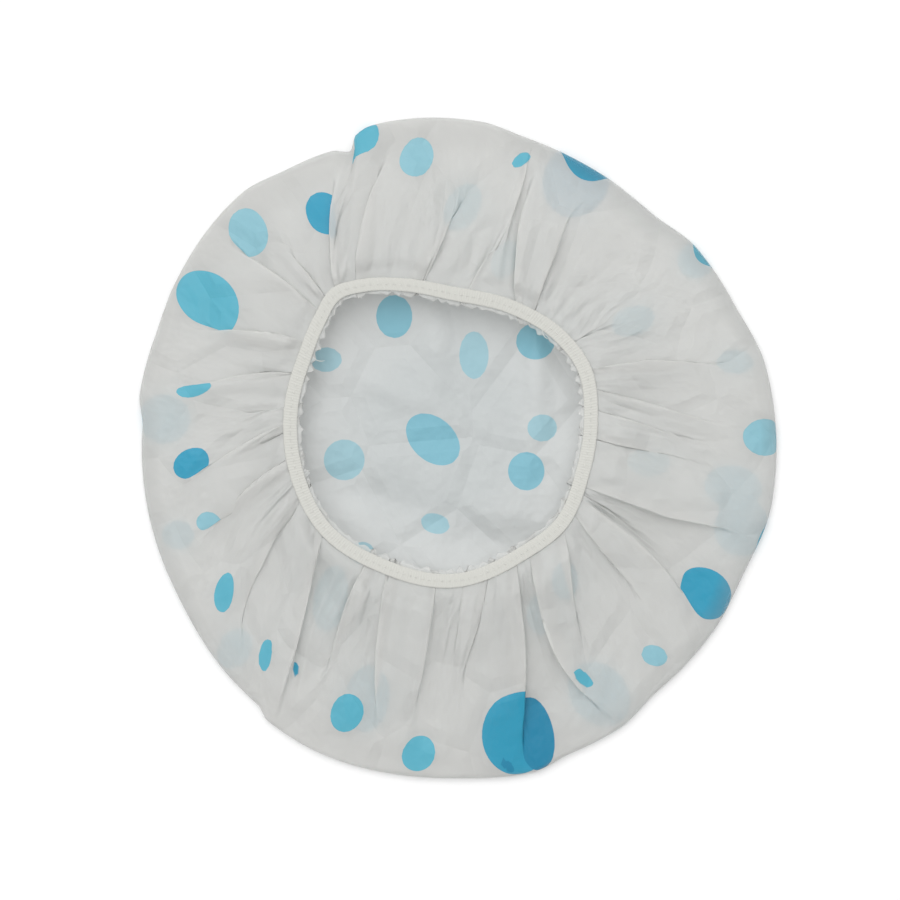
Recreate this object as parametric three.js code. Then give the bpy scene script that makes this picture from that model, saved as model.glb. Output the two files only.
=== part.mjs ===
// A gathered shower cap, lying on its crown with the elasticated opening up.
//
// One round sheet of film makes the cap. Its middle lies flat as the crown, turns up at the outline in a
// tight round edge, and comes back over itself in pleats to the opening, where a narrow elastic tape is
// sewn on. Millimetres, +Z up, origin under the middle of the cap on the surface it lies on.
// Bearings are in degrees, counter-clockwise from +X; a reach is a distance from the middle.
import * as THREE from 'three';

// Driving sizes
const FILM_WALL = 1;
const EDGE_RADIUS = 2.4;
const BAND_WIDTH = 6.2;
const BAND_THICKNESS = 1;
const BAND_HEIGHT = 20;
const BAND_SWAY = 1.2;
const SWAY_BEARING = 127;
const SEAT_GAP = 0.3;
const RIM_INSIDE_BAND = 1.5;
const PLEAT_DROP = 2;
const PANEL_PUFF = 0.9;
const GATHER_RISE = 1.1;

// Shares of the way up the side, from the top of the edge (0) to the rim inside the tape (1)
const PLEAT_RUN = 0.45;
const GATHERED_FROM = 0.4;
const PRESSED_FROM = 0.76;
const UNDER_TAPE = 0.875;

// The side lies lower than a straight line from the edge to the tape: the power of its climb
const CLIMB_POWER = 1.15;

// Where the opening's middle lies, off the middle of the outline
const BAND_CENTRE = { x: -6.8, y: 6.6 };

// The outline: nearly round, with straight stretches and two small nicks where a pleat reaches the edge
const OUTLINE = [
  { bearing: 0, reach: 140 },
  { bearing: 15, reach: 140 },
  { bearing: 28, reach: 137 },
  { bearing: 40, reach: 137 },
  { bearing: 50, reach: 134 },
  { bearing: 62, reach: 136 },
  { bearing: 78, reach: 140 },
  { bearing: 86, reach: 144 },
  { bearing: 105, reach: 147 },
  { bearing: 108, reach: 145 },
  { bearing: 110, reach: 139 },
  { bearing: 113, reach: 142 },
  { bearing: 122, reach: 144 },
  { bearing: 130, reach: 147 },
  { bearing: 150, reach: 144 },
  { bearing: 160, reach: 142 },
  { bearing: 170, reach: 142 },
  { bearing: 176, reach: 139 },
  { bearing: 205, reach: 139 },
  { bearing: 225, reach: 142 },
  { bearing: 232, reach: 143 },
  { bearing: 235, reach: 146 },
  { bearing: 245, reach: 147 },
  { bearing: 270, reach: 145 },
  { bearing: 283, reach: 146 },
  { bearing: 290, reach: 143 },
  { bearing: 300, reach: 142 },
  { bearing: 310, reach: 138 },
  { bearing: 325, reach: 138 },
  { bearing: 335, reach: 137 },
  { bearing: 350, reach: 140 },
];

// The middle line of the elastic tape, measured from its own middle: a rounded square with one long corner
const BAND_PATH = [
  { bearing: 5, reach: 65 },
  { bearing: 25, reach: 68 },
  { bearing: 40, reach: 66.5 },
  { bearing: 60, reach: 63 },
  { bearing: 88, reach: 61.5 },
  { bearing: 106, reach: 67.5 },
  { bearing: 119, reach: 73.5 },
  { bearing: 127, reach: 76.5 },
  { bearing: 137, reach: 73 },
  { bearing: 150, reach: 69 },
  { bearing: 170, reach: 67 },
  { bearing: 195, reach: 66 },
  { bearing: 220, reach: 66 },
  { bearing: 245, reach: 63.5 },
  { bearing: 275, reach: 64.5 },
  { bearing: 305, reach: 63 },
  { bearing: 322, reach: 65 },
  { bearing: 345, reach: 63.5 },
];

// One row for each pleat: where its crest starts at the outline (edge) and ends at the band, which way it
// leans (1 is counter-clockwise), how far in from the outline it starts (0) to the band (1), its rise, and
// how far its middle bows counter-clockwise, in degrees
const PLEATS = [
  { edge: 3, band: 19, lean: 1, start: 0.2, rise: 2.6, bow: -1 },
  { edge: 15, band: 24, lean: 1, start: 0.2, rise: 3, bow: 2 },
  { edge: 35, band: 36, lean: -1, start: 0.75, rise: 1.6, bow: 0 },
  { edge: 62, band: 51, lean: -1, start: 0.15, rise: 3.2, bow: 3 },
  { edge: 73, band: 55, lean: 1, start: 0.1, rise: 4.4, bow: 4 },
  { edge: 77, band: 81, lean: 1, start: 0.4, rise: 3.2, bow: -2 },
  { edge: 83, band: 103, lean: -1, start: 0.4, rise: 3.4, bow: 0 },
  { edge: 100, band: 120, lean: 1, start: 0.15, rise: 4.2, bow: 3 },
  { edge: 112, band: 128, lean: 1, start: 0, rise: 3, bow: 2 },
  { edge: 125, band: 132, lean: -1, start: 0.4, rise: 2.8, bow: 3 },
  { edge: 138, band: 136, lean: -1, start: 0.1, rise: 3.2, bow: 0 },
  { edge: 155, band: 147, lean: -1, start: 0.2, rise: 3.4, bow: 1 },
  { edge: 172, band: 157, lean: -1, start: 0.3, rise: 2.8, bow: -3 },
  { edge: 180, band: 169, lean: -1, start: 0.7, rise: 2.6, bow: -2 },
  { edge: 192, band: 175, lean: -1, start: 0.3, rise: 3, bow: -3 },
  { edge: 202, band: 190, lean: -1, start: 0.3, rise: 3.2, bow: -1 },
  { edge: 229, band: 200, lean: 1, start: 0.1, rise: 2.6, bow: -9 },
  { edge: 236, band: 213, lean: 1, start: 0, rise: 4.8, bow: 1 },
  { edge: 243, band: 241, lean: -1, start: 0.3, rise: 3.8, bow: -2 },
  { edge: 256, band: 249, lean: -1, start: 0.15, rise: 4.4, bow: -2 },
  { edge: 260, band: 267, lean: 1, start: 0.2, rise: 3, bow: 1 },
  { edge: 266, band: 280, lean: -1, start: 0.6, rise: 2.4, bow: 0 },
  { edge: 272, band: 291, lean: 1, start: 0.4, rise: 3.2, bow: -4 },
  { edge: 282, band: 301, lean: 1, start: 0, rise: 3.8, bow: 0 },
  { edge: 300, band: 310, lean: -1, start: 0, rise: 4.6, bow: -5 },
  { edge: 304, band: 325, lean: 1, start: 0.45, rise: 3.4, bow: -5 },
  { edge: 316, band: 332, lean: -1, start: 0.35, rise: 3.4, bow: 1 },
  { edge: 324, band: 336, lean: 1, start: 0.05, rise: 3.4, bow: 3 },
  { edge: 333, band: 338, lean: -1, start: 0.7, rise: 1.6, bow: 0 },
  { edge: 343, band: 340, lean: -1, start: 0, rise: 3.8, bow: 0 },
  { edge: 354, band: 1, lean: -1, start: 0.4, rise: 2.8, bow: 0 },
  { edge: 359, band: 11, lean: 1, start: 0.35, rise: 2.4, bow: -1 },
];

// How the meshes are divided
const EDGE_STEPS = 4;
const SIDE_STATIONS = [0.1, 0.22, 0.34, 0.46, 0.57, 0.67, 0.76, 0.83, UNDER_TAPE, 1];
const PANEL_STEP = 4;
const CORE_SIDES = 12;
const CORE_REACH = 60;
const BAND_STEPS = 96;

const radians = THREE.MathUtils.degToRad;
const smooth = THREE.MathUtils.smoothstep;
const mix = THREE.MathUtils.lerp;

// The slope of a curve at a row of its table, from the slopes and gaps before and after the row: one that
// never overshoots a row, and one that is round, as the parabola through the row and its neighbours
const careful = (before, after) => (before * after <= 0 ? 0 : (2 * before * after) / (before + after));
const rounded = (before, after, gapBefore, gapAfter) => (
  (before * gapAfter + after * gapBefore) / (gapBefore + gapAfter)
);

// A closed curve through row[key] at row[at], cubic between two rows
function loopThrough(rows, at, key, slopeAt) {
  const count = rows.length;
  const next = (i) => rows[(i + 1) % count];
  const gap = (i) => (next(i)[at] - rows[i][at] + 360) % 360;
  const slope = (i) => (next(i)[key] - rows[i][key]) / gap(i);
  const tangents = rows.map((_, i) => {
    const last = (i + count - 1) % count;
    return slopeAt(slope(last), slope(i), gap(last), gap(i));
  });
  return (bearing) => {
    const turn = ((bearing % 360) + 360) % 360;
    const found = rows.findLastIndex((row) => row[at] <= turn);
    const i = found < 0 ? count - 1 : found;
    const t = ((turn - rows[i][at] + 360) % 360) / gap(i);
    const start = rows[i][key] + t * t * (3 - 2 * t) * (next(i)[key] - rows[i][key]);
    const bend = tangents[i] * (1 - t) - tangents[(i + 1) % count] * t;
    return start + gap(i) * t * (1 - t) * bend;
  };
}

// Each crease is named by the bearing midway between its ends at the outline and at the band
const CREASES = PLEATS.map((pleat) => {
  const halfSwing = (((pleat.band - pleat.edge + 540) % 360) - 180) / 2;
  return { ...pleat, halfSwing, middle: (pleat.edge + halfSwing + 360) % 360 };
}).sort((a, b) => a.middle - b.middle);

const outlineReach = loopThrough(OUTLINE, 'bearing', 'reach', careful);
const bandReach = loopThrough(BAND_PATH, 'bearing', 'reach', rounded);
const halfSwing = loopThrough(CREASES, 'middle', 'halfSwing', careful);
const bow = loopThrough(CREASES, 'middle', 'bow', careful);

// The tape rides a little higher towards its long corner and the corner across from it
const bandHeight = (bearing) => BAND_HEIGHT + BAND_SWAY * Math.cos(radians(2 * (bearing - SWAY_BEARING)));

function onBand(bearing, inward) {
  const reach = bandReach(bearing) - inward;
  return {
    x: BAND_CENTRE.x + reach * Math.cos(radians(bearing)),
    y: BAND_CENTRE.y + reach * Math.sin(radians(bearing)),
  };
}

// The film

// A pleat's height grows from its start towards the band, and is pressed flat again under the tape
function growth(start, along) {
  return smooth(along, start, start + PLEAT_RUN) * (1 - smooth(along, PRESSED_FROM, UNDER_TAPE));
}

// Columns of the film's side, each named by its middle bearing as the creases are: two for each pleat, its
// crest and its foot, and a few across each panel, which puffs up a little and, close to the band, is drawn
// into small gathers, up and down by turns
function sideColumns() {
  const ends = CREASES.map((pleat) => {
    const crest = { bearing: pleat.middle, lift: (along) => pleat.rise * growth(pleat.start, along) };
    const foot = { bearing: pleat.middle + pleat.lean * PLEAT_DROP, lift: () => 0 };
    return pleat.lean > 0 ? [crest, foot] : [foot, crest];
  });
  return ends.flatMap(([before, after], i) => {
    const ahead = ends[(i + 1) % ends.length][0];
    const width = (ahead.bearing - after.bearing + 360) % 360;
    const steps = Math.max(2, Math.round(width / PANEL_STEP));
    const inner = Array.from({ length: steps - 1 }, (_, k) => {
      const across = (k + 1) / steps;
      const puff = PANEL_PUFF * Math.sin(Math.PI * across);
      const gather = k % 2 ? GATHER_RISE : -GATHER_RISE;
      const panel = (along) => mix(after.lift(along), ahead.lift(along), across);
      return {
        bearing: after.bearing + width * across,
        lift: (along) => panel(along) + puff * growth(0, along) + gather * growth(GATHERED_FROM, along),
      };
    });
    return [before, after, ...inner];
  });
}

const edgeBearing = (column) => column.bearing - halfSwing(column.bearing);

// A point on the film's turned edge: angle -90 is under the crown's border, 90 on top of the edge
function edgePoint(bearing, radius, angle) {
  const reach = outlineReach(bearing) - EDGE_RADIUS + radius * Math.cos(radians(angle));
  const turn = radians(bearing);
  const z = EDGE_RADIUS + radius * Math.sin(radians(angle));
  return [reach * Math.cos(turn), reach * Math.sin(turn), z];
}

// A point on the film's side: from the top of the edge (along 0) to the rim inside the tape (along 1)
function sidePoint(column, along, sunk) {
  const drift = bow(column.bearing) * 4 * along * (1 - along);
  const [x, y, z] = edgePoint(edgeBearing(column) + drift, EDGE_RADIUS, 90);
  const bandBearing = column.bearing + halfSwing(column.bearing) + drift;
  const rim = onBand(bandBearing, BAND_WIDTH / 2 + RIM_INSIDE_BAND);
  const seat = bandHeight(bandBearing) - SEAT_GAP;
  const climb = Math.min(1, along / UNDER_TAPE) ** CLIMB_POWER;
  const height = mix(z, seat, climb) + column.lift(along) - sunk;
  return [mix(x, rim.x, along), mix(y, rim.y, along), height];
}

function filmGeometry() {
  const columns = sideColumns();
  const angles = Array.from({ length: EDGE_STEPS + 1 }, (_, k) => -90 + (180 * k) / EDGE_STEPS);
  const outer = [
    ...angles.map((angle) => columns.map((column) => edgePoint(edgeBearing(column), EDGE_RADIUS, angle))),
    ...SIDE_STATIONS.map((along) => columns.map((column) => sidePoint(column, along, 0))),
  ];
  const inner = [
    ...angles.map((angle) => columns.map((column) => (
      edgePoint(edgeBearing(column), EDGE_RADIUS - FILM_WALL, angle)
    ))),
    ...SIDE_STATIONS.map((along) => columns.map((column) => sidePoint(column, along, FILM_WALL))),
  ];
  const rings = [...outer, ...inner.reverse()];
  const stride = columns.length;
  const owner = columns.map((_, j) => Math.round((j * CORE_SIDES) / stride) % CORE_SIDES);
  const core = (z) => Array.from({ length: CORE_SIDES }, (_, k) => {
    const turn = radians(edgeBearing(columns[Math.round((k * stride) / CORE_SIDES)]));
    return [CORE_REACH * Math.cos(turn), CORE_REACH * Math.sin(turn), z];
  });
  const points = [...rings.flat(), ...core(0), [0, 0, 0], ...core(FILM_WALL), [0, 0, FILM_WALL]];
  const faces = [];
  for (let r = 0; r + 1 < rings.length; r += 1) {
    for (let j = 0; j < stride; j += 1) {
      const k = (j + 1) % stride;
      const [a, b, c, d] = [r * stride + j, r * stride + k, (r + 1) * stride + k, (r + 1) * stride + j];
      faces.push([a, b, c], [a, c, d]);
    }
  }
  const closeCrown = (ring, coreStart, under) => {
    const add = (a, b, c) => faces.push(under ? [a, c, b] : [a, b, c]);
    for (let j = 0; j < stride; j += 1) {
      const k = (j + 1) % stride;
      add(ring * stride + j, ring * stride + k, coreStart + owner[j]);
      if (owner[k] !== owner[j]) add(ring * stride + k, coreStart + owner[k], coreStart + owner[j]);
    }
    for (let s = 0; s < CORE_SIDES; s += 1) {
      add(coreStart + s, coreStart + ((s + 1) % CORE_SIDES), coreStart + CORE_SIDES);
    }
  };
  closeCrown(0, rings.length * stride, true);
  closeCrown(rings.length - 1, rings.length * stride + CORE_SIDES + 1, false);
  return facesToGeometry(points, faces);
}

// The elastic tape: a flat strip, carried once round the opening

function bandGeometry() {
  const half = BAND_WIDTH / 2;
  const corners = [[-half, 0], [-half, BAND_THICKNESS], [half, BAND_THICKNESS], [half, 0]];
  const points = [];
  const faces = [];
  for (let j = 0; j < BAND_STEPS; j += 1) {
    const bearing = (360 * j) / BAND_STEPS;
    for (const [inward, up] of corners) {
      const { x, y } = onBand(bearing, inward);
      points.push([x, y, bandHeight(bearing) + up]);
    }
    for (let c = 0; c < 4; c += 1) {
      const [a, b] = [4 * j + c, 4 * j + ((c + 1) % 4)];
      const [d, e] = [4 * ((j + 1) % BAND_STEPS) + c, 4 * ((j + 1) % BAND_STEPS) + ((c + 1) % 4)];
      faces.push([a, d, e], [a, e, b]);
    }
  }
  return facesToGeometry(points, faces);
}

function facesToGeometry(points, faces) {
  const geometry = new THREE.BufferGeometry();
  geometry.setAttribute('position', new THREE.Float32BufferAttribute(points.flat(), 3));
  geometry.setIndex(faces.flat());
  geometry.computeVertexNormals();
  return geometry;
}

// Assembly: the meshes are moved together so that the origin is under the middle of the cap's box
const filmMaterial = new THREE.MeshStandardMaterial({ color: 0xdfe2de, roughness: 0.45, metalness: 0 });
const tapeMaterial = new THREE.MeshStandardMaterial({ color: 0xe9e7e0, roughness: 0.85, metalness: 0 });

const film = new THREE.Mesh(filmGeometry(), filmMaterial);
film.name = 'cap_film';
const tape = new THREE.Mesh(bandGeometry(), tapeMaterial);
tape.name = 'elastic_band';

const middle = new THREE.Box3().setFromObject(film).getCenter(new THREE.Vector3());
const cap = new THREE.Group();
cap.add(film, tape);
cap.position.set(-middle.x, -middle.y, 0);
const group = new THREE.Group();
group.add(cap);

export default group;
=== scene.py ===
import math

import bpy
import numpy as np
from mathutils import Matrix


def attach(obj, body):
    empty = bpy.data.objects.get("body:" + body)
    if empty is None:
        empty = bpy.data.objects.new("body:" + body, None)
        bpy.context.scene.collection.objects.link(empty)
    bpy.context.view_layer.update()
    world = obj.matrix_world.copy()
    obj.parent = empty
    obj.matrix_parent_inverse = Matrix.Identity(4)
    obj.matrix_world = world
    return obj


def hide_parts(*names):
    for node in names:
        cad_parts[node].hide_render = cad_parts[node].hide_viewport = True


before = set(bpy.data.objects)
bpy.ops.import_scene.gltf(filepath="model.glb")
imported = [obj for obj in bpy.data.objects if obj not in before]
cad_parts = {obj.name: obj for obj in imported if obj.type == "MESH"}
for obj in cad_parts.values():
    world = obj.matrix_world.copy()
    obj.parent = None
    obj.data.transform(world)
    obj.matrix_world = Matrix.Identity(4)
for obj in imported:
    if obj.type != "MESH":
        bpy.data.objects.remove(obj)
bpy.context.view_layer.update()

# ---------------------------------------------------------------------------------------------
# Camera, floor and light. The cap lies on a white table and is seen from straight above, in a bright
# white room whose ceiling is brightest in one wide soft patch, overhead and a little towards +Y.
# ---------------------------------------------------------------------------------------------
SENSOR_WIDTH = 0.036
CAMERA_HEIGHT = 2.4
VIEW_WIDTH = 0.396
VIEW_CENTRE = (-0.0035, -0.0009)
FLOOR_SIZE = 6.0
SKY_STRENGTH = 0.72
PATCH_STRENGTH = 1.9
PATCH_DIRECTION = (-0.16, 0.40, 0.90)
PATCH_CORE = 0.985
PATCH_RIM = 0.72


def add_mesh(name, points, faces):
    """A mesh object at the origin from an array of points and a list or array of faces."""
    mesh = bpy.data.meshes.new(name)
    mesh.from_pydata(np.asarray(points).tolist(), [], np.asarray(faces).tolist())
    mesh.polygons.foreach_set("use_smooth", np.ones(len(mesh.polygons), bool))
    mesh.update()
    thing = bpy.data.objects.new(name, mesh)
    bpy.context.scene.collection.objects.link(thing)
    return thing


class Wire:
    """A socket of a material being made. Arithmetic on it adds Math nodes; node() adds any other node."""

    def __init__(self, tree, socket=None):
        self.tree = tree
        self.socket = socket

    def node(self, kind, settings, inputs, output=0):
        """Adds a node of a kind, sets its settings first and then its sockets, and returns one output."""
        node = self.tree.nodes.new("ShaderNode" + kind)
        for name, value in settings.items():
            setattr(node, name, value)
        for name, value in inputs.items():
            if isinstance(value, Wire):
                self.tree.links.new(value.socket, node.inputs[name])
            else:
                node.inputs[name].default_value = value
        return Wire(self.tree, node.outputs[output])

    def maths(self, operation, first, second):
        return self.node("Math", {"operation": operation}, {0: first, 1: second})

    def __add__(self, other):
        return self.maths("ADD", self, other)

    def __sub__(self, other):
        return self.maths("SUBTRACT", self, other)

    def __rsub__(self, other):
        return self.maths("SUBTRACT", other, self)

    def __mul__(self, other):
        return self.maths("MULTIPLY", self, other)

    __radd__ = __add__
    __rmul__ = __mul__


def new_finish(name):
    """A material with an empty node tree, and the wire that its nodes are added through."""
    material = bpy.data.materials.new(name)
    material.use_nodes = True
    material.node_tree.nodes.clear()
    return material, Wire(material.node_tree)


def close_finish(wire, surface):
    """Ends a material: joins its surface shader to the output."""
    output = wire.tree.nodes.new("ShaderNodeOutputMaterial")
    wire.tree.links.new(surface.socket, output.inputs["Surface"])


camera_data = bpy.data.cameras.new("camera")
camera_data.lens = 1000 * SENSOR_WIDTH * CAMERA_HEIGHT / VIEW_WIDTH
camera_data.sensor_width = 1000 * SENSOR_WIDTH
camera_data.clip_end = 20
camera = bpy.data.objects.new("camera", camera_data)
camera.location = (*VIEW_CENTRE, CAMERA_HEIGHT)
bpy.context.scene.collection.objects.link(camera)
bpy.context.scene.camera = camera

world = bpy.data.worlds.new("white_room")
world.use_nodes = True
sky = Wire(world.node_tree)
towards = sky.node("TexCoord", {}, {})
facing = sky.node("VectorMath", {"operation": "DOT_PRODUCT"}, {0: towards, 1: PATCH_DIRECTION}, output=1)
bright = sky.node("MapRange", {"interpolation_type": "SMOOTHSTEP"},
                  {"Value": facing, "From Min": PATCH_RIM, "From Max": PATCH_CORE,
                   "To Min": SKY_STRENGTH, "To Max": SKY_STRENGTH + PATCH_STRENGTH})
background = world.node_tree.nodes["Background"]
background.inputs["Color"].default_value = (1, 1, 1, 1)
world.node_tree.links.new(bright.socket, background.inputs["Strength"])
bpy.context.scene.world = world
bpy.context.scene.view_settings.view_transform = "Standard"

floor_half = FLOOR_SIZE / 2
floor = add_mesh("floor", [(-floor_half, -floor_half, 0), (floor_half, -floor_half, 0),
                           (floor_half, floor_half, 0), (-floor_half, floor_half, 0)], [(0, 1, 2, 3)])
finish, wire = new_finish("white_table")
close_finish(wire, wire.node("BsdfPrincipled", {}, {"Base Color": (0.9, 0.9, 0.9, 1), "Roughness": 0.8}))
floor.data.materials.append(finish)

# ---------------------------------------------------------------------------------------------
# The film: one round sheet of milky polyethylene with blue dots printed on its outside. The crown
# lies on the table, turns up at the outline and comes back in knife pleats to the opening, where
# the elastic draws it together. It is a closed wall, so both sides of the film are there.
# ---------------------------------------------------------------------------------------------
FILM_THICKNESS = 0.00015
SHEET_REACH = 0.23
EDGE_RADIUS = 0.0024
BAND_WIDTH = 0.0062
BAND_HEIGHT = 0.020
BAND_SWAY = 0.0012
SWAY_BEARING = 127
FILM_SEAT = 0.0004
UNDER_TAPE = 0.875
CLIMB_POWER = 1.15
BAND_CENTRE = (-0.0068, 0.0066)

# The outline of the flattened cap: bearing in degrees, reach from the middle
OUTLINE = np.array([
    (0, 0.140), (15, 0.140), (28, 0.137), (40, 0.137), (50, 0.134), (62, 0.136),
    (78, 0.140), (86, 0.144), (105, 0.147), (108, 0.145), (110, 0.139), (113, 0.142),
    (122, 0.144), (130, 0.147), (150, 0.144), (160, 0.142), (170, 0.142), (176, 0.139),
    (205, 0.139), (225, 0.142), (232, 0.143), (235, 0.146), (245, 0.147), (270, 0.145),
    (283, 0.146), (290, 0.143), (300, 0.142), (310, 0.138), (325, 0.138), (335, 0.137),
    (350, 0.140),
], dtype=[("bearing", float), ("reach", float)])

# The middle line of the elastic tape, from its own middle
BAND_PATH = np.array([
    (5, 0.0650), (25, 0.0680), (40, 0.0665), (60, 0.0630), (88, 0.0615), (106, 0.0675),
    (119, 0.0735), (127, 0.0765), (137, 0.0730), (150, 0.0690), (170, 0.0670), (195, 0.0660),
    (220, 0.0660), (245, 0.0635), (275, 0.0645), (305, 0.0630), (322, 0.0650), (345, 0.0635),
], dtype=[("bearing", float), ("reach", float)])

# One row for each pleat: the bearing of its crease at the outline (edge) and at the tape (band), which
# way its upper layer leans (1 is counter-clockwise), how far in from the outline it starts (0) to the
# tape (1), how high its crest stands, how deep it is tucked (1 takes up all the spare film there) and
# how far its middle bows counter-clockwise, in degrees
PLEATS = np.array([
    (3, 19, 1, 0.2, 0.0026, 0.8, -1),
    (15, 24, 1, 0.2, 0.0030, 0.8, 2),
    (35, 36, -1, 0.75, 0.0016, 0.5, 0),
    (62, 51, -1, 0.15, 0.0032, 0.6, 3),
    (73, 55, 1, 0.1, 0.0044, 1, 4),
    (77, 81, 1, 0.4, 0.0032, 0.8, -2),
    (83, 103, -1, 0.4, 0.0034, 0.9, 0),
    (100, 120, 1, 0.15, 0.0042, 1, 3),
    (112, 128, 1, 0, 0.0030, 1, 2),
    (125, 132, -1, 0.4, 0.0028, 0.8, 3),
    (138, 136, -1, 0.1, 0.0032, 0.9, 0),
    (155, 147, -1, 0.2, 0.0034, 0.9, 1),
    (172, 157, -1, 0.3, 0.0028, 0.8, -3),
    (180, 169, -1, 0.7, 0.0026, 0.8, -2),
    (192, 175, -1, 0.3, 0.0030, 0.9, -3),
    (202, 190, -1, 0.3, 0.0032, 0.9, -1),
    (229, 200, 1, 0.1, 0.0026, 0.7, -9),
    (236, 213, 1, 0, 0.0048, 1, 1),
    (243, 241, -1, 0.3, 0.0038, 0.9, -2),
    (256, 249, -1, 0.15, 0.0044, 1, -2),
    (260, 267, 1, 0.2, 0.0030, 0.8, 1),
    (266, 280, -1, 0.6, 0.0024, 0.6, 0),
    (272, 291, 1, 0.4, 0.0032, 0.8, -4),
    (282, 301, 1, 0, 0.0038, 1, 0),
    (300, 310, -1, 0, 0.0046, 1, -5),
    (304, 325, 1, 0.45, 0.0034, 0.9, -5),
    (316, 332, -1, 0.35, 0.0034, 0.8, 1),
    (324, 336, 1, 0.05, 0.0034, 0.9, 3),
    (333, 338, -1, 0.7, 0.0016, 0.4, 0),
    (343, 340, -1, 0, 0.0038, 1, 0),
    (354, 1, -1, 0.4, 0.0028, 0.8, 0),
    (359, 11, 1, 0.35, 0.0024, 0.6, -1),
], dtype=[(name, float) for name in ("edge", "band", "lean", "start", "rise", "depth", "bow")])

PLEAT_GROWTH = 0.45
CREASE_SOFTNESS = 0.35
TUCK_LIMIT = 0.72
UNDER_SHARE = 0.08
PANEL_PUFF = 0.0009
GATHERS = 84
GATHER_RISE = 0.0011
RIM_INSIDE = 0.0016
RIM_RAGGED = 0.5
RIM_FREE = 0.97
RIM_WAVE = 0.0004
PRESSED_FROM = 0.78
PRESSED_SHARE = 0.95

# Mesh divisions
COLUMN_STEP = 0.75
PLEAT_STEP = 0.4
PLEAT_REACH = 3.0
EDGE_STEPS = 6
SIDE_RINGS = 38
CROWN_COLUMNS = 180
CROWN_RINGS = 44
CROWN_REACH = 0.97
RING_CLOSING = 1.25
PACE_STEP = 0.2

# How a pleat grows: the share of the side before its start over which it opens and over which it takes
# up spare film, then the degrees past its under-turn without gathers and the width of the painted highlight
# along its crease
PLEAT_LEAD = 0.1
SPARE_LEAD = 0.15
GATHER_GAP = 1.2
CREASE_WIDTH = 0.3

# The gathers: the shares of the side between which they grow, how far their beat bends them, their even
# and their uneven height, and the turns in degrees at which the beats of height and rim are read
GATHER_GROWTH = (0.35, 0.8)
GATHER_BEND = 1.5
GATHER_EVEN = 0.6
GATHER_UNEVEN = 0.3
HEIGHT_BEAT_TURN = 60
RIM_BEAT_TURN = 90
PUFF_GROWTH = 0.3


def careful(before, after, gap_before, gap_after):
    """The slope at a row of a table that a curve must not overshoot: the harmonic mean of the slopes
    on its two sides, or level where those have opposite signs."""
    same = before * after > 0
    return np.where(same, 2 * before * after / np.where(same, before + after, 1), 0)


def rounded(before, after, gap_before, gap_after):
    """The slope at a row of a table of a round curve: that of the parabola through its neighbours."""
    return (before * gap_after + after * gap_before) / (gap_before + gap_after)


def closed_curve(bearings, values, slope_at=careful):
    """A closed curve through a table: between two rows, the cubic that has the slopes at its rows."""
    gap = (np.roll(bearings, -1) - bearings) % 360
    slope = (np.roll(values, -1) - values) / gap
    tangent = slope_at(np.roll(slope, 1), slope, np.roll(gap, 1), gap)

    def at(bearing):
        turn = np.asarray(bearing) % 360
        i = (np.searchsorted(bearings, turn, side="right") - 1) % len(bearings)
        k = (i + 1) % len(bearings)
        t = ((turn - bearings[i]) % 360) / gap[i]
        swept = values[i] + t * t * (3 - 2 * t) * (values[k] - values[i])
        return swept + gap[i] * t * (1 - t) * (tangent[i] * (1 - t) - tangent[k] * t)

    return at


outline_reach = closed_curve(OUTLINE["bearing"], OUTLINE["reach"])
band_reach = closed_curve(BAND_PATH["bearing"], BAND_PATH["reach"], rounded)

# A column of the side is named by the bearing midway between its ends at the outline and at the tape
swing = (PLEATS["band"] - PLEATS["edge"] + 180) % 360 - 180
creases = (PLEATS["edge"] + swing / 2) % 360
order = np.argsort(creases)
PLEATS, swing, creases = PLEATS[order], swing[order], creases[order]
half_swing = closed_curve(creases, swing / 2)
bow = closed_curve(creases, PLEATS["bow"])


def polar(bearing, reach, centre=(0, 0)):
    """x and y of a bearing in degrees and a reach, from a centre."""
    turn = np.radians(bearing)
    return centre[0] + reach * np.cos(turn), centre[1] + reach * np.sin(turn)


def smooth(x, start, end):
    """0 up to start, 1 from end on, and the cubic 3t^2 - 2t^3 between."""
    t = np.clip((x - start) / (end - start), 0, 1)
    return t * t * (3 - 2 * t)


def ramp(x):
    """A soft corner: near 0 for x well below 0 and near x well above it: half of x + sqrt(x^2 + softness^2)."""
    return (x + np.sqrt(x * x + CREASE_SOFTNESS**2)) / 2


def band_height(bearing):
    """The tape's underside, a little higher at its long corner and the corner across from it."""
    return BAND_HEIGHT + BAND_SWAY * np.cos(np.radians(2 * (bearing - SWAY_BEARING)))


def column_bearings():
    """Bearings of the mesh's columns: close together at each pleat, evenly spread over each panel."""
    bearings = []
    for here, ahead in zip(creases, np.append(creases[1:], creases[0] + 360)):
        reach = min(PLEAT_REACH, (ahead - here) / 2)
        panel = ahead - here - 2 * reach
        steps = max(1, round(panel / COLUMN_STEP))
        dense = round(reach / PLEAT_STEP)
        bearings += list(here + reach * np.arange(dense) / dense)
        bearings += list(here + reach + panel * np.arange(steps) / steps if panel > 0.01 else [])
        bearings += list(ahead - reach + reach * np.arange(dense) / dense)
    return np.array(bearings)


def seeded_waves(seed, count, low, high):
    """A smooth random field on bearing and station: a sum of sines with seeded pitches and phases."""
    dice = np.random.default_rng(seed)
    rows = [(dice.integers(low, high), dice.uniform(-2, 2), dice.uniform(0, 2 * np.pi)) for _ in range(count)]

    def at(bearing, along):
        turn = np.radians(bearing)
        return sum(np.sin(n * turn + 2 * np.pi * drift * along + phase) for n, drift, phase in rows) / count**0.5

    return at


swells = seeded_waves(11, 7, 9, 30)
gather_beat = seeded_waves(23, 6, 8, 40)
rim_beat = seeded_waves(31, 9, 36, 110)


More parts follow.
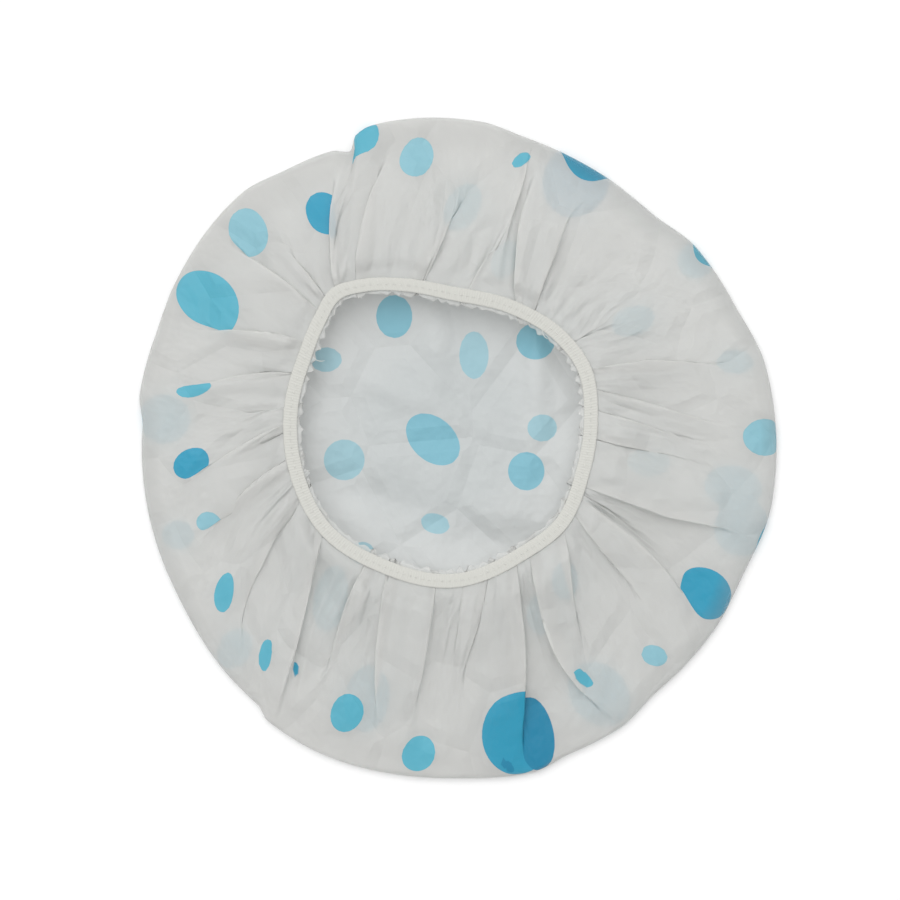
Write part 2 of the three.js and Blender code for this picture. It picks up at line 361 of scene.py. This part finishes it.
def side_line(column, along):
    """The line that a column follows in plan before any pleat is folded: straight from the outline
    (along 0) to the rim (along 1), and bowed sideways between them. Also the bearing of its tape end."""
    drift = bow(column) * 4 * along * (1 - along)
    edge_bearing = column - half_swing(column) + drift
    band_bearing = column + half_swing(column) + drift
    edge_x, edge_y = polar(edge_bearing, outline_reach(edge_bearing) - EDGE_RADIUS)
    inside = RIM_INSIDE * (1 + RIM_RAGGED * rim_beat(band_bearing, 0))
    rim_x, rim_y = polar(band_bearing, band_reach(band_bearing) - BAND_WIDTH / 2 - inside, BAND_CENTRE)
    return edge_x + (rim_x - edge_x) * along, edge_y + (rim_y - edge_y) * along, band_bearing


def side_surface(column, along):
    """The side of the cap, from the top of its turned edge (along 0) to the raw rim (along 1).

    Its plan radius falls towards the rim while the flat sheet's grows: the film that is left over is
    taken up by pleats. At each crease the column runs on past it by half the tuck, back under it by
    the tuck, and on again: a soft-cornered zigzag. The upper layer rises to a crest at the crease and
    falls to nothing at the under-turn. Small gathers, waves round the opening, grow close to the tape
    and are pressed flat beneath it. On the flat sheet a panel between two creases is its plan turned
    over at the outline: the reach beyond the outline is what the plan reach lacks to it, and bearings
    close up on the panel's middle by plan reach over flat reach, which leaves the spare at creases."""
    x, y, _ = side_line(column, along)
    plan_reach = np.hypot(x, y)
    x_ahead, y_ahead, _ = side_line(column + PACE_STEP, along)
    pace = np.hypot(x_ahead - x, y_ahead - y) / PACE_STEP
    edge_bearing = column - half_swing(column)
    level = outline_reach(edge_bearing) - EDGE_RADIUS
    flat_reach = 2 * level - plan_reach
    pressed = 1 - PRESSED_SHARE * smooth(along, PRESSED_FROM, UNDER_TAPE)
    zigzag = np.zeros_like(plan_reach)
    lift = np.zeros_like(plan_reach)
    clear = np.ones_like(plan_reach)
    crease = np.zeros_like(plan_reach)
    panel_middle = np.zeros_like(plan_reach) + edge_bearing
    for i, pleat in enumerate(PLEATS):
        behind = (creases[i] - creases[i - 1]) % 360
        ahead = (creases[(i + 1) % len(creases)] - creases[i]) % 360
        edge_behind = (pleat["edge"] - PLEATS["edge"][i - 1]) % 360
        edge_ahead = (PLEATS["edge"][(i + 1) % len(creases)] - pleat["edge"]) % 360
        offset = (column - creases[i] + 180) % 360 - 180
        grown = smooth(along, pleat["start"] - PLEAT_LEAD, pleat["start"] + PLEAT_GROWTH)
        spare = (flat_reach - plan_reach) / 2 * np.radians((edge_behind + edge_ahead) / 2)
        room = TUCK_LIMIT * pace * min(behind, ahead)
        over = pleat["depth"] * grown * np.minimum(spare, room) / 2 / pace
        under = UNDER_SHARE * min(behind, ahead)
        turned = (ramp(offset + behind) - ramp(offset + under)) / (behind - under)
        turned -= (ramp(offset + under) - ramp(offset - under)) / under
        turned += (ramp(offset - under) - ramp(offset - ahead)) / (ahead - under)
        zigzag += np.minimum(over / under, 1) * under * turned + over * turned
        leaned = offset * pleat["lean"]
        panel = behind if pleat["lean"] > 0 else ahead
        saw = (ramp(leaned + panel) - ramp(leaned + under)) / (panel - under)
        saw -= (ramp(leaned + under) - ramp(leaned - under)) / (2 * under)
        lift += pleat["rise"] * grown * pressed * saw
        clear *= smooth(np.abs(offset), under, under + GATHER_GAP)
        # A painted highlight along the crest of each grown crease
        crease += grown * np.exp(-((leaned + under) / CREASE_WIDTH) ** 2)
        step = np.clip((offset + under) / (2 * under), 0, 1)
        spread = np.clip((offset + behind / 2) / ((behind + ahead) / 2), 0, 1)
        share = smooth(along, pleat["start"] - SPARE_LEAD, pleat["start"] + PLEAT_LEAD) * pleat["depth"]
        panel_middle += (edge_behind + edge_ahead) / 2 * share * (step - spread)
    x, y, band_bearing = side_line(column + zigzag, along)
    climb = np.minimum(1, along / UNDER_TAPE) ** CLIMB_POWER
    seat = band_height(band_bearing) - FILM_SEAT
    near_tape = smooth(along, *GATHER_GROWTH) * pressed
    wave = np.sin(np.radians(column) * GATHERS + GATHER_BEND * gather_beat(column, along))
    height_share = GATHER_EVEN + GATHER_UNEVEN * gather_beat(column + HEIGHT_BEAT_TURN, along)
    gathers = GATHER_RISE * near_tape * clear * wave * height_share
    puff = PANEL_PUFF * smooth(along, 0, PUFF_GROWTH) * pressed * swells(column, along)
    frill = RIM_WAVE * smooth(along, RIM_FREE, 1) * rim_beat(band_bearing + RIM_BEAT_TURN, 0)
    z = 2 * EDGE_RADIUS + (seat - 2 * EDGE_RADIUS) * climb + lift + gathers + puff + frill
    plan_reach = np.hypot(x, y)
    plan_bearing = np.degrees(np.arctan2(y, x))
    plan_bearing = panel_middle + (plan_bearing - panel_middle + 180) % 360 - 180
    closing = plan_reach / (2 * level - plan_reach)
    sheet_bearing = plan_bearing * closing + panel_middle * (1 - closing)
    sheet = polar(sheet_bearing, 2 * level - plan_reach + np.pi * EDGE_RADIUS)
    return np.stack([x, y, z], -1), np.stack(sheet, -1), crease


def edge_surface(column, turn):
    """The turned edge, a half circle in section: turn -90 is under the crown's border, 90 on top."""
    bearing = column - half_swing(column)
    level = outline_reach(bearing) - EDGE_RADIUS
    x, y = polar(bearing, level + EDGE_RADIUS * np.cos(np.radians(turn)))
    z = EDGE_RADIUS * (1 + np.sin(np.radians(turn)))
    sheet = polar(bearing, level + EDGE_RADIUS * np.radians(turn + 90))
    return np.stack([x, y, z + 0 * x], -1), np.stack(sheet, -1)


# The crown's soft swells (and valleys, with a rise under 0): middle, bearing along it, half length,
# half width and rise
SWELLS = np.array([
    (-0.041, -0.021, -14, 0.030, 0.008, -0.0026),
    (0.014, -0.041, -6, 0.034, 0.008, -0.0030),
    (0.006, -0.058, -8, 0.040, 0.009, 0.0022),
    (-0.010, 0.042, 92, 0.028, 0.008, 0.0028),
    (0.034, 0.036, 90, 0.030, 0.005, 0.0022),
    (-0.032, 0.026, -20, 0.022, 0.005, 0.0014),
    (0.050, -0.010, 70, 0.026, 0.009, 0.0016),
    (-0.060, 0.020, 75, 0.030, 0.008, 0.0016),
], dtype=[(name, float) for name in ("x", "y", "along", "length", "width", "rise")])
CROWN_LIFT = 0.0034
CROWN_TOUCH = 0.0003
CROWN_RIPPLE = 0.0004
BORDER_SHARE = 0.16


def crown_height(x, y):
    """How high the crown stands off the table: a low cushion with the swells of the table added, each a
    Gauss bell across its width and along its length, and kept just off the table below."""
    height = CROWN_LIFT + CROWN_RIPPLE * np.sin(150 * x + 70 * y) * np.sin(130 * y - 60 * x)
    for swell in SWELLS:
        turn = np.radians(swell["along"])
        ahead = (x - swell["x"]) * np.cos(turn) + (y - swell["y"]) * np.sin(turn)
        aside = (y - swell["y"]) * np.cos(turn) - (x - swell["x"]) * np.sin(turn)
        height = height + swell["rise"] * np.exp(-(ahead / swell["length"])**2 - (aside / swell["width"])**2)
    return np.maximum(height, CROWN_TOUCH)


def crown_surface(bearing, share):
    """The crown, level on the table but for its swells; share 1 is its border, 0 its middle."""
    reach = (outline_reach(bearing) - EDGE_RADIUS) * share
    x, y = polar(bearing, reach)
    height = crown_height(x, y) * smooth(1 - share, 0, BORDER_SHARE)
    return np.stack([x, y, height], -1), np.stack([x, y], -1)


def ring_faces(stride, first, rows):
    """Quads between rows of points round the cap, each row stride points long."""
    row = first + stride * np.arange(rows - 1)[:, None]
    here = np.arange(stride)[None, :]
    ahead = (here + 1) % stride
    quads = np.stack([row + here, row + ahead, row + stride + ahead, row + stride + here], -1)
    return quads.reshape(-1, 4)


def film_sheet():
    """The whole sheet as triangles: the crown's coarse rings, then the edge and side's fine columns."""
    coarse = np.arange(CROWN_COLUMNS) * 360 / CROWN_COLUMNS
    fine = column_bearings()
    shares = (np.arange(1, CROWN_RINGS + 1) / CROWN_RINGS)[:, None] * CROWN_REACH
    crown, crown_sheet = crown_surface(coarse[None, :], shares)
    turns = np.linspace(-90, 90, EDGE_STEPS + 1)[:-1, None]
    edge, edge_sheet = edge_surface(fine[None, :], turns)
    stations = 1 - (1 - np.linspace(0, 1, SIDE_RINGS)) ** RING_CLOSING
    side, side_sheet, side_crease_highlight = side_surface(fine[None, :], stations[:, None])
    points = np.concatenate([[[0, 0, crown_height(0, 0)]], crown.reshape(-1, 3), edge.reshape(-1, 3),
                             side.reshape(-1, 3)])
    sheet = np.concatenate([[[0, 0]], crown_sheet.reshape(-1, 2), edge_sheet.reshape(-1, 2),
                            side_sheet.reshape(-1, 2)])
    start = 1 + crown.shape[0] * crown.shape[1]
    crease = np.zeros(len(points))
    crease[len(points) - side_crease_highlight.size:] = side_crease_highlight.ravel()
    quads = np.concatenate([ring_faces(CROWN_COLUMNS, 1, CROWN_RINGS),
                            ring_faces(len(fine), start, EDGE_STEPS + SIDE_RINGS)])
    faces = [quads[:, [0, 1, 2]], quads[:, [0, 2, 3]]]
    ring = np.arange(CROWN_COLUMNS)
    faces.append(np.stack([0 * ring, 1 + (ring + 1) % CROWN_COLUMNS, 1 + ring], -1))
    last = 1 + CROWN_COLUMNS * (CROWN_RINGS - 1)
    column = np.arange(len(fine))
    ahead = (column + 1) % len(fine)
    owner = np.round((fine - half_swing(fine)) / 360 * CROWN_COLUMNS).astype(int) % CROWN_COLUMNS
    faces.append(np.stack([last + owner, start + ahead, start + column], -1))
    turned = np.nonzero(owner[ahead] != owner)[0]
    faces.append(np.stack([last + owner[turned], last + owner[ahead[turned]], start + ahead[turned]], -1))
    return points, sheet, crease, np.concatenate(faces), len(fine)


def outward(points, faces):
    """Unit normals of the points: the sum of the cross products of the faces around each."""
    a, b, c = (points[faces[:, k]] for k in range(3))
    across = np.cross(b - a, c - a)
    total = np.zeros_like(points)
    for k in range(3):
        np.add.at(total, faces[:, k], across)
    return total / np.linalg.norm(total, axis=1)[:, None]


points, sheet, crease, faces, stride = film_sheet()
side_start = len(points) - stride * SIDE_RINGS
side_points, side_sheet = points[side_start:].copy(), sheet[side_start:]
normal = outward(points, faces)
count = len(points)
inner = points - FILM_THICKNESS * normal
rim = count - stride + np.arange(stride)
rim_ahead = np.roll(rim, -1)
rim_faces = np.concatenate([np.stack([rim, rim_ahead, rim_ahead + count], -1),
                            np.stack([rim, rim_ahead + count, rim + count], -1)])
wall_faces = np.concatenate([faces, faces[:, ::-1] + count, rim_faces])
wall_points = np.concatenate([points, inner])
wall_points[:, 2] -= min(0, wall_points[:, 2].min())
outline_middle = [(wall_points[:, k].min() + wall_points[:, k].max()) / 2 for k in range(2)]
wall_points[:, :2] -= outline_middle
film = add_mesh("film_sheet", wall_points, wall_faces)
loops = np.empty(len(film.data.loops), int)
film.data.loops.foreach_get("vertex_index", loops)
uv = film.data.uv_layers.new(name="sheet")
uv.data.foreach_set("uv", (0.5 + np.tile(sheet, (2, 1))[loops] / (2 * SHEET_REACH)).ravel())
outside = film.data.attributes.new("outside", "FLOAT", "POINT")
outside.data.foreach_set("value", np.repeat([1.0, 0.0], count))
# The crease attribute carries a painted highlight along each pleat's crest
crease_highlight_mark = film.data.attributes.new("crease", "FLOAT", "POINT")
crease_highlight_mark.data.foreach_set("value", np.tile(crease, 2))

# The printed dots, charted as they show on the lying cap: x and y of the middle, length, width, the
# long axis's turn from +X in degrees and the ink. First those on the gathered side, then the crown's
SIDE_DOTS = [
    (-0.042, 0.137, 0.016, 0.016, 0, "mid"),
    (-0.018, 0.128, 0.016, 0.016, 0, "light"),
    (0.028, 0.127, 0.012, 0.005, 38, "mid"),
    (-0.058, 0.103, 0.019, 0.019, 0, "dark"),
    (-0.092, 0.095, 0.021, 0.021, 0, "light"),
    (-0.110, 0.064, 0.031, 0.027, -15, "mid"),
    (-0.1145, 0.027, 0.014, 0.008, 5, "mid"),
    (-0.117, -0.006, 0.018, 0.016, 90, "dark"),
    (-0.109, -0.033, 0.011, 0.011, 0, "light"),
    (-0.103, -0.063, 0.017, 0.013, 90, "mid"),
    (-0.085, -0.091, 0.015, 0.008, 64, "mid"),
    (-0.071, -0.097, 0.008, 0.0025, 75, "dark"),
    (-0.049, -0.116, 0.018, 0.017, 0, "mid"),
    (-0.017, -0.134, 0.017, 0.016, 0, "mid"),
    (0.027, -0.125, 0.036, 0.036, 0, "dark"),
    (0.033, -0.126, 0.034, 0.021, 100, "deep"),
    (0.0213, -0.139, 0.009, 0.0045, -40, "deep"),
    (0.055, -0.101, 0.011, 0.004, -53, "mid"),
    (0.086, -0.091, 0.013, 0.010, 0, "light"),
    (0.109, -0.063, 0.025, 0.025, 0, "dark"),
    (0.134, 0.005, 0.018, 0.018, 0, "light"),
]
CROWN_DOTS = [
    (-0.028, 0.058, 0.019, 0.016, 90, "mid"),
    (0.007, 0.041, 0.021, 0.013, 90, "light"),
    (0.034, 0.047, 0.017, 0.016, 0, "mid"),
    (-0.058, 0.039, 0.014, 0.011, 0, "light"),
    (-0.011, 0.004, 0.027, 0.019, -42, "mid"),
    (-0.050, -0.005, 0.018, 0.018, 90, "light"),
    (0.037, 0.009, 0.013, 0.012, 0, "light"),
    (0.030, -0.010, 0.017, 0.016, 90, "mid"),
    (-0.010, -0.033, 0.013, 0.009, -15, "light"),
    (-0.042, -0.046, 0.011, 0.010, 0, "light"),
    (0.002, 0.106, 0.023, 0.015, 60, "mid"),
    (0.077, 0.056, 0.020, 0.013, 20, "mid"),
    (0.122, 0.038, 0.017, 0.011, 0, "mid"),
    (0.052, 0.118, 0.034, 0.029, 66, "dark"),
    (0.105, 0.083, 0.018, 0.016, 38, "mid"),
    (-0.129, 0.013, 0.023, 0.022, 0, "mid"),
    (-0.056, -0.066, 0.030, 0.015, 80, "mid"),
    (-0.123, -0.038, 0.015, 0.013, 0, "mid"),
    (-0.098, -0.088, 0.019, 0.015, 60, "mid"),
    (-0.040, -0.110, 0.030, 0.020, 80, "mid"),
    (0.062, -0.108, 0.031, 0.025, -50, "mid"),
    (0.084, -0.006, 0.019, 0.013, 0, "light"),
    (0.121, -0.017, 0.026, 0.019, -10, "mid"),
    (0.125, -0.035, 0.025, 0.025, 0, "mid"),
    (0.036, -0.073, 0.018, 0.012, 90, "mid"),
    (0.047, -0.058, 0.017, 0.012, 90, "mid"),
    (0.021, 0.083, 0.018, 0.012, 60, "light"),
]
SEEN_WITHIN = 0.002
INKS = {"light": (0.24, 0.48, 0.56), "mid": (0.09, 0.40, 0.52), "dark": (0.02, 0.295, 0.455),
        "deep": (0.006, 0.21, 0.36)}
DOT_EDGE = 0.0002
INNER_INK = 0.75
FILM_COLOR = (0.71, 0.71, 0.69, 1)
# The crown's two colours are painted shade: darker than the side's film, darkest in the middle of the opening,
# and lifted by painted light towards the tape over the reaches from the opening's middle given next
CROWN_PAINTED_SHADE_COLOR = (0.49, 0.515, 0.515, 1)
BORDER_LIGHTER_PAINTED_SHADE_COLOR = (0.62, 0.63, 0.623, 1)
PAINTED_LIGHT_FROM = (0.030, 0.070)
CROWN_WITHIN = (0.130, 0.150)
CROWN_OPACITY = 1
# A painted highlight: the film whitened along each pleat's crest
CREASE_HIGHLIGHT_COLOR = (0.93, 0.93, 0.90, 1)
CREASE_HIGHLIGHT_SHARE = 0.6
FILM_OPACITY = 0.75
INK_OPACITY = 0.92
FILM_GLOW = 0.25
GLOW_COLOR = (0.95, 0.95, 0.94, 1)
STREAKS = 26
STREAK_RUN = 20
STREAK_HEIGHT = 0.0024
STREAKS_FROM = (0.165, 0.222)
MOTTLE_SCALE = 90
MOTTLE_HEIGHT = 0.0016
CRUMPLES = 26
CRUMPLE_BORDER = 0.15
CRUMPLE_HEIGHT = 0.0060
# The colour darkens in an uneven mottle of tone, and along the wrinkles near the tape as painted shade
MOTTLE_TONE_DEPTH = 0.16
STREAK_PAINTED_SHADE = 0.30
MOTTLE_AND_WRINKLE_SHADE_COLOR = (0.50, 0.52, 0.51, 1)


def on_sheet(x, y, tilt):
    """Where a dot seen on the gathered side lies on the flat sheet, and how it is turned there: the
    sheet place of the highest film near it, moved on by what is left with its radial part reversed, as
    the side is the sheet turned over at the outline. The turn from the radius is reversed with it."""
    away = np.hypot(side_points[:, 0] - x, side_points[:, 1] - y)
    near = np.nonzero(away < max(SEEN_WITHIN, away.min() * 1.01))[0]
    seen = near[side_points[near, 2].argmax()]
    bearing = math.atan2(y, x)
    left_x, left_y = x - side_points[seen, 0], y - side_points[seen, 1]
    outward_part = left_x * math.cos(bearing) + left_y * math.sin(bearing)
    sheet_x = side_sheet[seen, 0] + left_x - 2 * outward_part * math.cos(bearing)
    sheet_y = side_sheet[seen, 1] + left_y - 2 * outward_part * math.sin(bearing)
    turned = math.atan2(sheet_y, sheet_x) + bearing - math.radians(tilt)
    return sheet_x, sheet_y, turned


def inside_dots(places, ink):
    """How far inside a dot of an ink each place of the flat sheet is. A dot is an ellipse: the places
    whose distances from its two focuses add up to its length. What they are short of it is 0 on the
    dot's edge and grows inwards, and the largest over the ink's dots is kept."""
    spots = [(*on_sheet(x, y, tilt), length, width)
             for x, y, length, width, tilt, name in SIDE_DOTS if name == ink]
    spots += [(x, y, math.radians(tilt), length, width)
              for x, y, length, width, tilt, name in CROWN_DOTS if name == ink]
    x, y, turned, length, width = np.array(spots).T
    reach = np.sqrt(length**2 - width**2) / 2
    focus_x, focus_y = reach * np.cos(turned), reach * np.sin(turned)
    first = np.hypot(places[:, :1] - x - focus_x, places[:, 1:] - y - focus_y)
    second = np.hypot(places[:, :1] - x + focus_x, places[:, 1:] - y + focus_y)
    return (length - first - second).max(axis=1)


for ink in INKS:
    mark = film.data.attributes.new(ink, "FLOAT", "POINT")
    mark.data.foreach_set("value", np.tile(inside_dots(sheet, ink), 2))

finish, wire = new_finish("dotted_film")
map_place = wire.node("UVMap", {"uv_map": "sheet"}, {})
centred = wire.node("VectorMath", {"operation": "SUBTRACT"}, {0: map_place, 1: (0.5, 0.5, 0)})
place = wire.node("VectorMath", {"operation": "SCALE"}, {0: centred, "Scale": 2 * SHEET_REACH})
printed = wire.node("Attribute", {"attribute_name": "outside"}, {}, output=2)
crease_highlight = wire.node("Attribute", {"attribute_name": "crease"}, {}, output=2)
from_middle = wire.node("VectorMath", {"operation": "LENGTH"}, {0: place}, output=1)
on_crown = wire.node("MapRange", {}, {"Value": from_middle, "From Min": CROWN_WITHIN[0],
                                      "From Max": CROWN_WITHIN[1], "To Min": 1, "To Max": 0})
from_opening = wire.node("VectorMath", {"operation": "DISTANCE"}, {0: place, 1: (*BAND_CENTRE, 0)}, output=1)
# Painted shade on the crown: darkest in the middle of the opening, lifted by painted light towards the tape,
# where the walls round the opening shade it
painted_light_near_tape = wire.node("MapRange", {}, {"Value": from_opening, "From Min": PAINTED_LIGHT_FROM[0], "From Max": PAINTED_LIGHT_FROM[1]})
crown = wire.node("Mix", {"data_type": "RGBA"}, {0: painted_light_near_tape, 6: CROWN_PAINTED_SHADE_COLOR, 7: BORDER_LIGHTER_PAINTED_SHADE_COLOR}, output=2)
milk_with_painted_shade = wire.node("Mix", {"data_type": "RGBA"}, {0: on_crown, 6: FILM_COLOR, 7: crown}, output=2)

# Fine wrinkles run up to the tape, and the whole film is a little uneven. Its colour darkens in an uneven mottle
# of tone, and along the wrinkles near the tape as painted shade
outwards = wire.node("VectorMath", {"operation": "NORMALIZE"}, {0: place})
round_place = wire.node("VectorMath", {"operation": "SCALE"}, {0: outwards, "Scale": STREAKS})
along_place = wire.node("CombineXYZ", {}, {"Z": from_middle * STREAK_RUN})
streak_place = wire.node("VectorMath", {"operation": "ADD"}, {0: round_place, 1: along_place})
streaks = wire.node("TexNoise", {}, {"Vector": streak_place, "Scale": 1, "Detail": 2})
drawn_in = wire.node("MapRange", {}, {"Value": from_middle, "From Min": STREAKS_FROM[0],
                                      "From Max": STREAKS_FROM[1]})
mottle = wire.node("TexNoise", {}, {"Vector": place, "Scale": MOTTLE_SCALE, "Detail": 2})
crumples = wire.node("TexVoronoi", {"feature": "DISTANCE_TO_EDGE", "voronoi_dimensions": "2D"},
                     {"Vector": place, "Scale": CRUMPLES})
crumples = wire.maths("MINIMUM", crumples, CRUMPLE_BORDER)
relief = streaks * drawn_in * STREAK_HEIGHT + mottle * MOTTLE_HEIGHT + crumples * CRUMPLE_HEIGHT
# Painted shade along the wrinkles near the tape, over an uneven mottle of tone
mottle_and_wrinkle_shade = mottle * MOTTLE_TONE_DEPTH + streaks * drawn_in * STREAK_PAINTED_SHADE
milk_with_painted_shade = wire.node("Mix", {"data_type": "RGBA"}, {0: mottle_and_wrinkle_shade, 6: milk_with_painted_shade, 7: MOTTLE_AND_WRINKLE_SHADE_COLOR}, output=2)
# Painted highlight: the film is whitened along each crease's crest
color = wire.node("Mix", {"data_type": "RGBA"}, {0: crease_highlight * CREASE_HIGHLIGHT_SHARE, 6: milk_with_painted_shade, 7: CREASE_HIGHLIGHT_COLOR}, output=2)
inked = None
for ink, ink_color in INKS.items():
    inside = wire.node("Attribute", {"attribute_name": ink}, {}, output=2)
    mask = wire.node("MapRange", {"interpolation_type": "SMOOTHSTEP"},
                     {"Value": inside, "From Min": -DOT_EDGE, "From Max": DOT_EDGE})
    shown = mask * (printed * (1 - INNER_INK) + INNER_INK)
    color = wire.node("Mix", {"data_type": "RGBA"}, {0: shown, 6: color, 7: (*ink_color, 1)}, output=2)
    inked = shown if inked is None else wire.maths("MAXIMUM", inked, shown)
uneven = wire.node("Bump", {}, {"Height": relief, "Strength": 1, "Distance": 1})
sheen = wire.node("BsdfPrincipled", {}, {"Base Color": color, "Roughness": 0.5, "Specular IOR Level": 0.35,
                                         "Normal": uneven})
glow = wire.node("BsdfTranslucent", {}, {"Color": GLOW_COLOR})
body = wire.node("MixShader", {}, {0: (1 - inked) * (1 - on_crown) * FILM_GLOW, 1: sheen, 2: glow})
clear = wire.node("BsdfTransparent", {}, {})
plain = on_crown * (CROWN_OPACITY - FILM_OPACITY) + FILM_OPACITY
# Only the upper face of the wall is milky: the inside of the crown and the outside of the side
upper = on_crown * (1 - 2 * printed) + printed
opaque = wire.maths("MAXIMUM", inked * INK_OPACITY, plain) * upper
close_finish(wire, wire.node("MixShader", {}, {0: opaque, 1: clear, 2: body}))
film.data.materials.append(finish)

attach(film, "root")
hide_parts("cap_film")

# ---------------------------------------------------------------------------------------------
# The elastic tape: a flat ribbed strip, sewn on top of the gathered film all round the opening.
# ---------------------------------------------------------------------------------------------
RIB_PITCH = 0.0012
RIB_DEPTH = 0.00009
TAPE_THICKNESS = 0.0007
POINTS_A_RIB = 6
TAPE_SECTION = 12
TAPE_SIDE = 0.35
TAPE_FACE = 0.6
TAPE_COLOR = (0.57, 0.57, 0.535, 1)


def tape_wall():
    """The tape: a rounded flat section carried round the band's path, with ribs across it."""
    ribs = round(2 * np.pi * BAND_PATH["reach"].mean() / RIB_PITCH)
    steps = ribs * POINTS_A_RIB
    bearing = (np.arange(steps) * 360 / steps)[:, None]
    turn = (np.arange(TAPE_SECTION) * 2 * np.pi / TAPE_SECTION)[None, :]
    rib = RIB_DEPTH * np.cos(2 * np.pi * np.arange(steps) / POINTS_A_RIB)[:, None]
    across = np.sign(np.cos(turn)) * np.abs(np.cos(turn)) ** TAPE_SIDE * BAND_WIDTH / 2
    up = np.sign(np.sin(turn)) * np.abs(np.sin(turn)) ** TAPE_FACE * (TAPE_THICKNESS / 2 + rib)
    x, y = polar(bearing, band_reach(bearing) - across, BAND_CENTRE)
    z = band_height(bearing) + TAPE_THICKNESS / 2 + up
    points = np.stack([x, y, z + 0 * x], -1).reshape(-1, 3)
    step = np.arange(steps)[:, None] * TAPE_SECTION
    ahead = (np.arange(steps)[:, None] + 1) % steps * TAPE_SECTION
    k = np.arange(TAPE_SECTION)[None, :]
    k_next = (k + 1) % TAPE_SECTION
    quads = np.stack([step + k, ahead + k, ahead + k_next, step + k_next], -1).reshape(-1, 4)
    return points, quads


points, quads = tape_wall()
points[:, :2] -= outline_middle
tape = add_mesh("ribbed_tape", points, quads)
finish, wire = new_finish("elastic_tape")
close_finish(wire, wire.node("BsdfPrincipled", {}, {"Base Color": TAPE_COLOR, "Roughness": 0.85}))
tape.data.materials.append(finish)
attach(tape, "root")
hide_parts("elastic_band")

# ---------------------------------------------------------------------------------------------
# The sewing thread: one row of running stitches along the middle of the tape, which holds it on the
# film, and the few cut ends that stick out inside the opening.
# ---------------------------------------------------------------------------------------------
THREAD_WIDTH = 0.00036
STITCH_PITCH = 0.0030
STITCH_SHARE = 0.7
STITCH_RISE = 0.00016
STITCH_STEPS = 7
STITCH_SIDES = 6
TUBE_END = 0.98
THREAD_CURL = 0.9
THREAD_TWIST = 2500
THREAD_COLORS = ((0.56, 0.56, 0.53, 1), (0.66, 0.66, 0.63, 1))

# The cut ends: bearing on the tape, how far inside its middle line they start, length, turn from +X
THREAD_ENDS = np.array([
    (46, 0.0025, 0.0050, 250),
    (149, 0.0030, 0.0060, 285),
    (333, 0.0028, 0.0045, 200),
], dtype=[(name, float) for name in ("bearing", "inside", "length", "turn")])


def thread_tubes(paths):
    """Tubes along paths (an array of paths, steps and places): at each step a ring about the path in
    the plane across it, its radius falling to nothing at both ends as a half circle does."""
    run = np.gradient(paths, axis=1)
    run /= np.linalg.norm(run, axis=2)[..., None]
    aside = np.cross(run, (0, 0, 1))
    aside /= np.linalg.norm(aside, axis=2)[..., None]
    above = np.cross(aside, run)
    count, steps = paths.shape[:2]
    share = np.linspace(-TUBE_END, TUBE_END, steps)
    radius = (THREAD_WIDTH / 2 * np.sqrt(1 - share**4))[None, :, None, None]
    turn = (np.arange(STITCH_SIDES) * 2 * np.pi / STITCH_SIDES)[None, None, :, None]
    rings = paths[:, :, None] + radius * (aside[:, :, None] * np.cos(turn) + above[:, :, None] * np.sin(turn))
    k = np.arange(STITCH_SIDES)
    ahead = (k + 1) % STITCH_SIDES
    step = np.arange(steps - 1)[:, None] * STITCH_SIDES
    sides = np.stack([step + k, step + STITCH_SIDES + k, step + STITCH_SIDES + ahead, step + ahead], -1)
    first = np.arange(count)[:, None] * steps * STITCH_SIDES
    quads = (first[:, :, None] + sides.reshape(1, -1, 4)).reshape(-1, 4)
    last = first + (steps - 1) * STITCH_SIDES
    halves = np.array([(0, 1, 2, 3), (0, 3, 4, 5)])
    caps = [first + halves[0], first + halves[1], last + halves[0, ::-1], last + halves[1, ::-1]]
    return rings.reshape(-1, 3), np.concatenate([quads, *caps])


round_tape = 2 * np.pi * BAND_PATH["reach"].mean()
stitches = round(round_tape / STITCH_PITCH)
step = np.linspace(-0.5, 0.5, STITCH_STEPS)[None, :]
bearing = (np.arange(stitches)[:, None] + STITCH_SHARE * step) * 360 / stitches
x, y = polar(bearing, band_reach(bearing), BAND_CENTRE)
z = band_height(bearing) + TAPE_THICKNESS + STITCH_RISE * (1 - 8 * step**2)
sewn = np.stack([x, y, z], -1)
x, y = polar(THREAD_ENDS["bearing"], band_reach(THREAD_ENDS["bearing"]) - THREAD_ENDS["inside"], BAND_CENTRE)
along = (step + 0.5) * THREAD_ENDS["length"][:, None]
turn = np.radians(THREAD_ENDS["turn"])[:, None] + THREAD_CURL * (step + 0.5)
loose = np.stack([x[:, None] + along * np.cos(turn), y[:, None] + along * np.sin(turn),
                  BAND_HEIGHT + TAPE_THICKNESS + 0 * along], -1)
points, quads = thread_tubes(np.concatenate([sewn, loose]))
points[:, :2] -= outline_middle
thread = add_mesh("band_stitches", points, quads)
finish, wire = new_finish("sewing_thread")
spot = wire.node("TexCoord", {}, {}, output=3)
twist = wire.node("TexNoise", {}, {"Vector": spot, "Scale": THREAD_TWIST, "Detail": 1})
color = wire.node("Mix", {"data_type": "RGBA"}, {0: twist, 6: THREAD_COLORS[0], 7: THREAD_COLORS[1]}, output=2)
close_finish(wire, wire.node("BsdfPrincipled", {}, {"Base Color": color, "Roughness": 0.7}))
thread.data.materials.append(finish)
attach(thread, "root")
